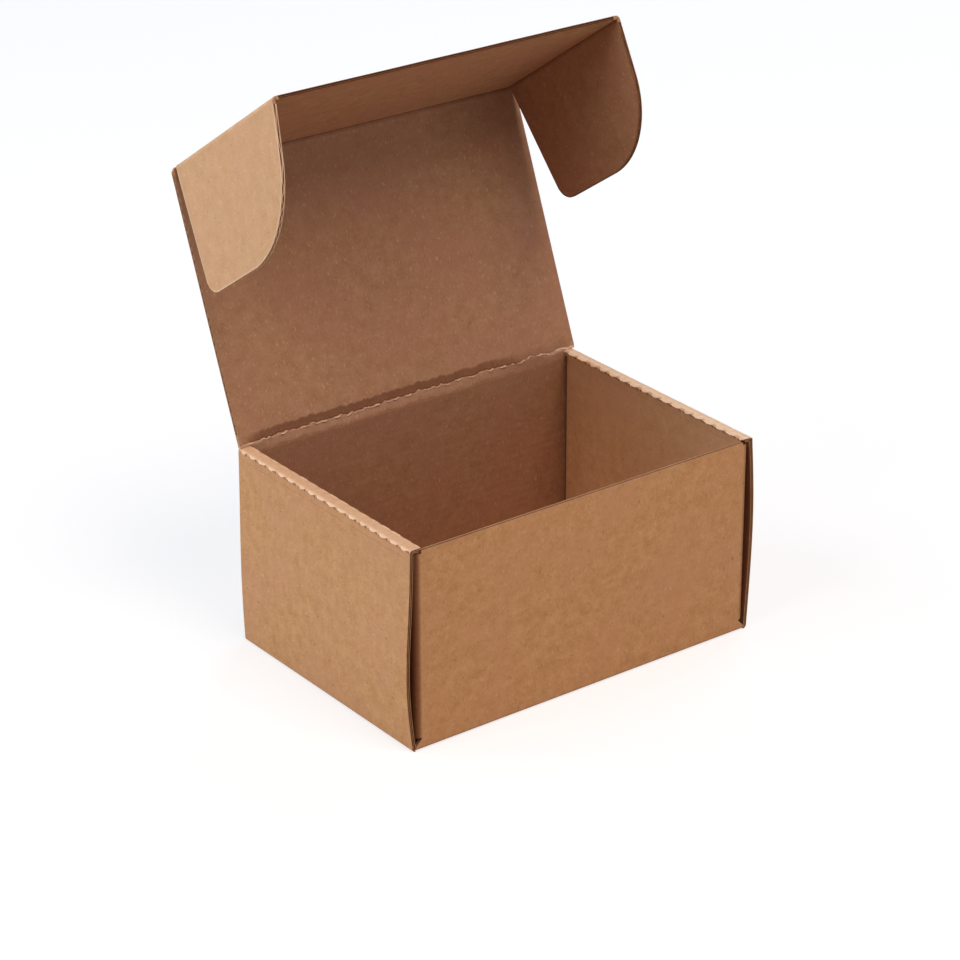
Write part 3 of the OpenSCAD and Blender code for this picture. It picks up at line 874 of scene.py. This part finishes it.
def creaseStrip(name, fold, reach, limits, flatAt, shape, rows, columns, keep=None, rubbed=0.0):
    # x runs along the line and t across it; fold is a place on the line, its direction, the way up the first
    # panel, that panel's inside normal and the angle
    origin, along, way, inside, angle = fold
    d = crease["bend"]
    radius = d / math.tan(angle / 2)
    turn = angle * radius
    parts = [(reach - d, None), (turn, radius), (0, None)]
    marks = [0, reach - d, reach - d + turn, 2 * (reach - d) + turn]
    q = np.unique(np.concatenate([steps(marks, marks[3] / rows), np.linspace(marks[1], marks[2], 9)]))
    a, b, turned = follow(parts, (-reach, 0), 0, q)
    t = (q / marks[3] * 2 - 1) * reach
    low, high = limits(t)
    x = low[:, None] + (high - low)[:, None] * np.linspace(0, 1, columns)
    t = np.repeat(t[:, None], columns, 1)
    middle = origin + x[..., None] * along + a[:, None, None] * way + b[:, None, None] * inside
    normal = (-np.sin(turned))[:, None, None] * way + np.cos(turned)[:, None, None] * inside
    inner, worn, crushed, bulge = shape(x, t)
    ends = unit((reach - abs(t)) / 0.6)
    outer = half - 0.5 * crease["crush"] * hump(t, 0, 0.9) + bulge
    outer = outer + 0.035 * rough(x / 1.6, t / 0.7, 31.0) * ends
    top = middle + normal * (half + inner)[..., None]
    bottom = middle - normal * outer[..., None]
    cells = [(v[:-1, :-1] + v[1:, 1:]) / 2 for v in (x, t)]
    kept = np.pad(keep(*cells) if keep else np.ones(cells[0].shape, bool), 1)
    faces, kinds = stripFaces(kept, np.dot(np.cross(along, way), inside) < 0)
    flat = np.stack([*flatAt(x, t), 0 * x], -1).reshape(-1, 3)
    # the fold's outside is paler along its line, and on the left ear it also carries the ear's painted light
    outerWornAndLit = 0.35 * hump(t, 0, 0.8) * unit(0.6 + rough(x / 5, t, 7.0)) * ends + rubbed * unit(t / 0.6)
    tones = {"worn": np.append(worn, outerWornAndLit), "crushed": np.append(crushed, 0 * crushed)}
    points = np.concatenate([top.reshape(-1, 3), bottom.reshape(-1, 3)])
    piece = makeMesh(name, boardPapers, points, faces, np.concatenate([flat, flat]), tones, kinds)
    piece.data.shade_smooth()
    piece.data.set_sharp_from_angle(angle=math.radians(50))
    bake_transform(piece)


# a crease's shape is how far its inside stands up, how much paler it is, how much darker it is from pressing
# and painted shade, and how far its outside bulges

def lidCrease(x, t):
    # from the wall up: the paper leans back, tears up in a ragged broken ridge, and lies deep above it
    line = 0 * t
    deep = crease["lidCrush"] * np.interp(x, *zip(*crease["lidCrushAt"]))
    foot = crease["crushFoot"] + rough(x / 5, line, 5.0)
    head = crease["crushHead"] + 0.35 * rough(x / 6, line, 6.0)
    tt = t - 0.9 * rough(x / 11, line, 3.0) - 0.6 * rough(x / 2.3, line, 4.0)      # from the torn line
    below = 0.75 * unit((tt - foot) / (-0.2 - foot))
    above = unit((head - tt) / (head - 0.35)) ** 0.85
    drop = -deep * np.where(tt < 0, below, above)
    size = np.clip(0.4 + 1.9 * rough(x / 3.1, line, 8.0), 0, 1.5) * np.interp(abs(x), [74, 78], [1, 0.5])
    ridge = crease["ridge"] * size * hump(tt, -0.15, 0.3)
    fine = 0.07 * rough(x / 0.8, t / 0.8, 9.0)
    ends = unit((tray["creaseReach"] - abs(t)) / 0.8)
    worn = 0.7 * hump(tt, -0.12, 0.32) * unit(size * 0.9) + 0.1 * unit(-drop / 0.4) * (tt < 0)
    worn = worn + 0.7 * hump(tt, -0.5, 0.6) * np.interp(x, [62, 72], [0, 1])       # rubbed pale at both ends
    worn = worn + 0.4 * hump(tt, -0.5, 0.5) * np.interp(x, [-74, -62], [1, 0])
    # the band above the torn line is darker, partly pressed paper and partly painted shade in the groove, with
    # a darker line just above the ridge
    crushed = 0.5 * unit(-drop / 0.25) * (tt > 0.3) + 0.5 * hump(tt, 0.4, 0.25) * np.clip(0.35 + deep, 0.3, 1)
    return (drop + ridge + fine) * ends, unit(worn) * ends, unit(crushed) * ends, 0.3 * unit(-drop) * ends


def plainCrease(x, t):
    line = 0.15 * rough(x / 6, 0 * t, 2.0)
    up = 0.03 * rough(x / 1.2, t, 14.0) - crease["crush"] * hump(t, line, 0.8)
    ends = unit((reachIn - abs(t)) / 0.6)
    # painted shade along the crease, darkest on its line
    return up * ends, 0.1 * hump(t, 0, 0.5) * ends, (0.7 * hump(t, line, 0.5) + 0.25) * ends, 0 * t


def keepLidStrip(x, t):
    # the wall's part ends between the rolled-over sides, the lid's part runs on to the lid's edges
    low, out = crease["lidBehind"]
    return (t > -half) | (abs(x) < slotX[0]) | ((t < low) & (abs(x) < out))


def tuckStripLimits(t):
    corner = flaps["cornerRadius"]
    over = np.clip(t + corner, 0, corner)
    lidHalf = tray["outerWidth"] / 2 - corner + np.sqrt(np.maximum(corner ** 2 - over ** 2, 0))
    rootTop, rootHalf = crease["tuckRoot"]
    width = np.where(t <= 0, lidHalf, np.where(t < rootTop, rootHalf, tuckHalf))
    return -width, width


def earStripLimits(t):
    out = np.maximum(t, 0)
    return flaps["earRoot"] + out * backTilt, flaps["tuckHeight"] - out * frontTilt


creaseStrip("lid_crease", (hinge, xAxis, upWay, upIn, -lean), tray["creaseReach"], lidSpan,
            lambda x, t: (x, sheetUp + t), lidCrease, 36, 433, keepLidStrip)
creaseStrip("tuck_crease", (tuckLine, xAxis, lidWay, lidIn, math.radians(flaps["tuckFold"])),
            reachIn, tuckStripLimits, lambda x, t: (x, sheetOver + t), plainCrease, 24, 260)
for side, name, body in ((-1, "left_ear_crease", "ear_l"), (1, "right_ear_crease", "ear_r")):
    origin, _, _, fold = earFrame(side)
    creaseStrip(name, (origin, tuckWay, side * xAxis, tuckIn, fold), reachIn, earStripLimits,
                lambda x, t: (side * (flaps["earAxis"] + t), sheetOver + x), plainCrease, 24, 150,
                None, flaps["rubbed"][side])
print("creases made")


# camera, light and floor

view = {
    "azimuth": -37.08, "elevation": 25.23, "roll": -0.16,
    "distance": 1301.3, "aim": (-6.44, 60.236),      # mm; the aim is right and up from the box's origin
    "focal": 3325.5, "frame": 960, "sensor": 36,     # focal length and frame width in pixels, sensor in mm
}


def placeCamera():
    a, e, roll = (math.radians(view[key]) for key in ("azimuth", "elevation", "roll"))
    back = Vector((math.sin(a) * math.cos(e), -math.cos(a) * math.cos(e), math.sin(e)))
    right = Vector((math.cos(a), math.sin(a), 0))
    up = back.cross(right)
    right, up = right * math.cos(roll) + up * math.sin(roll), up * math.cos(roll) - right * math.sin(roll)
    place = (right * view["aim"][0] + up * view["aim"][1] + back * view["distance"]) * mm
    data = bpy.data.cameras.new("camera")
    data.sensor_width = view["sensor"]
    data.sensor_fit = "HORIZONTAL"
    data.lens = view["focal"] / view["frame"] * view["sensor"]
    data.clip_start = 0.01
    camera = bpy.data.objects.new("camera", data)
    camera.matrix_world = Matrix.Translation(place) @ Matrix((right, up, back)).transposed().to_4x4()
    scene.collection.objects.link(camera)
    scene.camera = camera


placeCamera()

studio = {
    "lamps": {               # metres, watts
        "key": {"from": (-1.5, 0.0, 1.27), "watts": 12.3, "colour": (1.03, 1.0, 0.95)},
        "top": {"from": (0.16, -0.88, 1.78), "watts": 16.4, "colour": (1.24, 1.0, 0.84)},
        "back": {"from": (-1.31, 1.31, 0.5), "watts": 15.5, "colour": (0.87, 1.0, 1.18)},
        "rims": {"from": (1.3, 0.7, 1.2), "watts": 8.0, "colour": (0.8, 1.05, 1.3)},
        "fill": {"from": (0.64, -1.75, 0.5), "watts": 5.2, "colour": (0.93, 1.0, 1.08)},
    },
    "lampSize": 1.1,
    "lampAim": (0, 0, 0.1),
    "sky": (0.6, 0.8, 1.5, 1), "skyStrength": 0.045,
    "floorHalf": 3.0,
    "floorBounce": "#cab8a5",        # what the box gets back from the floor, and what the camera sees of it
    "floorSeen": "#b0b0b0",
    "floorGlow": 0.68,
}
white = (1, 1, 1, 1)

for name, lamp in studio["lamps"].items():
    data = bpy.data.lights.new(name, "AREA")
    data.size = studio["lampSize"]
    data.energy = lamp["watts"]
    data.color = lamp["colour"]
    light = bpy.data.objects.new(name, data)
    light.location = lamp["from"]
    aim = Vector(studio["lampAim"]) - light.location
    light.rotation_euler = aim.to_track_quat("-Z", "Y").to_euler()
    scene.collection.objects.link(light)

# a dim blue sky lights the box, and the camera and the shines see white
world = bpy.data.worlds.new("studio")
scene.world = world
world.use_nodes = True
sky = world.node_tree
sky.nodes.clear()
rays = addNode(sky, "ShaderNodeLightPath").outputs
seen = addNode(sky, "ShaderNodeMath", {0: rays["Is Camera Ray"], 1: rays["Is Glossy Ray"]}, operation="MAXIMUM")
seen = addNode(sky, "ShaderNodeMath", {0: seen, 1: rays["Is Transmission Ray"]}, operation="MAXIMUM")
dim = addNode(sky, "ShaderNodeBackground", {"Color": studio["sky"], "Strength": studio["skyStrength"]})
bright = addNode(sky, "ShaderNodeBackground", {"Color": white, "Strength": 1.0})
both = addNode(sky, "ShaderNodeMixShader", {0: seen, 1: dim, 2: bright})
addNode(sky, "ShaderNodeOutputWorld", {0: both})

edge = studio["floorHalf"]
floorMesh = bpy.data.meshes.new("floor")
corners = [(x * edge, y * edge, 0) for x, y in ((-1, -1), (1, -1), (1, 1), (-1, 1))]
floorMesh.from_pydata(corners, [], [(0, 1, 2, 3)])
floor = bpy.data.objects.new("floor", floorMesh)
scene.collection.objects.link(floor)
# background paper, matt and pale: it glows for the camera, so it shows near white with a faint soft shadow
floorLook = bpy.data.materials.new("paleFloor")
floorLook.use_nodes = True
tree = floorLook.node_tree
tree.nodes.clear()
cameraRay = addNode(tree, "ShaderNodeLightPath").outputs["Is Camera Ray"]
matt = addNode(tree, "ShaderNodeBsdfDiffuse", {"Color": hexColour(studio["floorBounce"])})
shown = addNode(tree, "ShaderNodeBsdfDiffuse", {"Color": hexColour(studio["floorSeen"])})
glow = addNode(tree, "ShaderNodeEmission", {"Color": white, "Strength": studio["floorGlow"]})
lit = addNode(tree, "ShaderNodeAddShader", {0: shown, 1: glow})
both = addNode(tree, "ShaderNodeMixShader", {0: cameraRay, 1: matt, 2: lit})
addNode(tree, "ShaderNodeOutputMaterial", {0: both})
floorMesh.materials.append(floorLook)
scene.view_settings.view_transform = "Standard"
print("camera, light and floor set")

bpy.context.view_layer.update()
